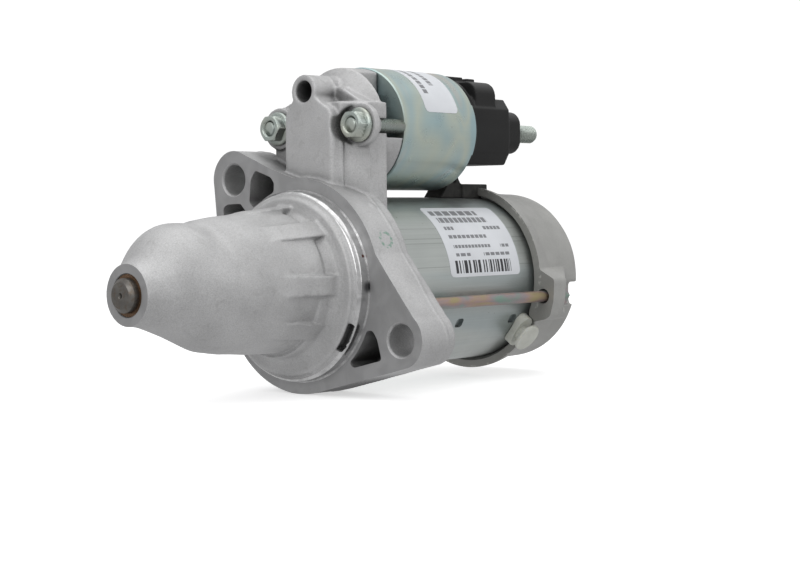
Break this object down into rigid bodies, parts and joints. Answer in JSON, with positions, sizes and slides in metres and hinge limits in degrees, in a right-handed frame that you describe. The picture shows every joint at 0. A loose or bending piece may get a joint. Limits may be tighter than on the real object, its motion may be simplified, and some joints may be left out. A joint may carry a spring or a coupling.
{
  "type": "starter motor",
  "caption": "Starter motor with a cast drive housing and bolt flange, planetary reduction gear, overrunning clutch and pinion, and a solenoid with lever on top.",
  "frame": {"origin": "centre of the locating spigot, in the plane of the flange's front face", "axes": "+X along the drive shaft from the nose towards the motor, +Z from the shaft towards the solenoid"},
  "size_m": [0.2401, 0.1138, 0.1329],
  "materials": {
    "cast_aluminium": "sand-textured die casting",
    "machined_aluminium": "satin, warm grey",
    "zinc_steel": "blue-green passivated zinc",
    "zinc_fastener": "yellow passivated zinc",
    "bare_steel": "oiled and ground",
    "dark_steel": "hardened, dark",
    "bronze": "sintered, oily",
    "copper": "bare copper",
    "black_plastic": "matte moulded",
    "brown_plastic": "moulded phenolic",
    "white_plastic": "translucent nylon",
    "black_rubber": "matte",
    "magnet_ceramic": "sintered ferrite",
    "carbon": "copper graphite",
    "label_paper": "satin film",
    "spring_steel": "drawn wire"
  },
  "bodies": {
    "housing": {"drive_housing": "cast_aluminium", "rear_cover": "machined_aluminium", "yoke_tube": "zinc_steel", "solenoid_case": "zinc_steel", "through_bolts": "zinc_fastener", "cover_screws": "zinc_fastener", "solenoid_studs": "zinc_fastener", "solenoid_nuts": "zinc_fastener", "battery_terminal": "zinc_fastener", "centre_bracket": "bare_steel", "internal_gear": "bare_steel", "gear_cover_plate": "bare_steel", "rear_bearing_outer_race": "bare_steel", "fixed_core": "bare_steel", "lever_pin": "bare_steel", "nose_bushing": "bronze", "centre_bush": "bronze", "coil_winding": "copper", "motor_contact": "copper", "motor_lead": "copper", "plunger_sleeve": "copper", "start_terminal": "copper", "terminal_cap": "black_plastic", "coil_bobbin": "black_plastic", "brush_holder": "brown_plastic", "lever_holder": "brown_plastic", "drain_plug": "white_plastic", "lead_grommet": "black_rubber", "lever_packing": "black_rubber", "field_magnets": "magnet_ceramic", "brushes": "carbon", "yoke_label": "label_paper", "solenoid_label": "label_paper", "brush_springs": "spring_steel", "plunger_spring": "spring_steel", "contact_spring": "spring_steel"},
    "plunger": {"plunger": "bare_steel"},
    "contact": {"contact_rod": "bare_steel", "contact_disc": "copper"},
    "lever": {"shift_lever": "brown_plastic"},
    "armature": {"armature_shaft": "bare_steel", "armature_core": "dark_steel", "armature_winding": "copper", "commutator_hub": "brown_plastic", "commutator_bars": "copper", "rear_bearing_inner_race": "bare_steel"},
    "bearing_balls": {"rear_bearing_balls": "bare_steel"},
    "drive": {"drive_shaft": "dark_steel", "planet_pins": "bare_steel", "pilot_bush": "bronze", "stop_collar": "dark_steel", "stop_ring": "dark_steel"},
    "planet_1": {"planet_gear_1": "dark_steel"},
    "planet_2": {"planet_gear_2": "dark_steel"},
    "planet_3": {"planet_gear_3": "dark_steel"},
    "clutch": {"clutch_outer": "dark_steel", "clutch_cover": "zinc_steel", "clutch_rollers": "bare_steel", "clutch_springs": "spring_steel"},
    "pinion": {"pinion": "dark_steel"}
  },
  "joints": [
    {"name": "armature_spin", "type": "hinge", "parent": "housing", "child": "armature", "pos_m": [0.1, 0, 0], "axis": [1, 0, 0], "continuous": true},
    {"name": "drive_shaft_spin", "type": "hinge", "parent": "housing", "child": "drive", "pos_m": [0.02, 0, 0], "axis": [1, 0, 0], "continuous": true},
    {"name": "planet_1_spin", "type": "hinge", "parent": "drive", "child": "planet_1", "pos_m": [0.035, 0, 0.015], "axis": [1, 0, 0], "continuous": true},
    {"name": "planet_2_spin", "type": "hinge", "parent": "drive", "child": "planet_2", "pos_m": [0.035, -0.01299, -0.0075], "axis": [1, 0, 0], "continuous": true},
    {"name": "planet_3_spin", "type": "hinge", "parent": "drive", "child": "planet_3", "pos_m": [0.035, 0.01299, -0.0075], "axis": [1, 0, 0], "continuous": true},
    {"name": "bearing_ball_spin", "type": "hinge", "parent": "housing", "child": "bearing_balls", "pos_m": [0.128, 0, 0], "axis": [1, 0, 0], "continuous": true},
    {"name": "plunger_slide", "type": "slide", "parent": "housing", "child": "plunger", "axis": [1, 0, 0], "range_m": [0, 0.008], "deforming": ["plunger_spring"]},
    {"name": "lever_swing", "type": "hinge", "parent": "housing", "child": "lever", "pos_m": [0.016, 0, 0.038], "axis": [0, 1, 0], "range_deg": [0, 17.5]},
    {"name": "clutch_slide", "type": "slide", "parent": "drive", "child": "clutch", "axis": [-1, 0, 0], "range_m": [0, 0.0117]},
    {"name": "pinion_overrun", "type": "hinge", "parent": "clutch", "child": "pinion", "pos_m": [-0.03, 0, 0], "axis": [1, 0, 0], "continuous": true},
    {"name": "contact_slide", "type": "slide", "parent": "housing", "child": "contact", "axis": [1, 0, 0], "range_m": [0, 0.003], "deforming": ["contact_spring"]}
  ],
  "couplings": [
    {"joint": "drive_shaft_spin", "follows": "armature_spin", "ratio": 0.2},
    {"joint": "planet_1_spin", "follows": "armature_spin", "ratio": -0.53333},
    {"joint": "planet_2_spin", "follows": "armature_spin", "ratio": -0.53333},
    {"joint": "planet_3_spin", "follows": "armature_spin", "ratio": -0.53333},
    {"joint": "bearing_ball_spin", "follows": "armature_spin", "ratio": 0.36944},
    {"joint": "lever_swing", "follows": "plunger_slide", "rad_per_m": 38.17},
    {"joint": "clutch_slide", "follows": "plunger_slide", "ratio": 1.4625},
    {"joint": "contact_slide", "follows": "plunger_slide", "ratio": 0.375}
  ]
}
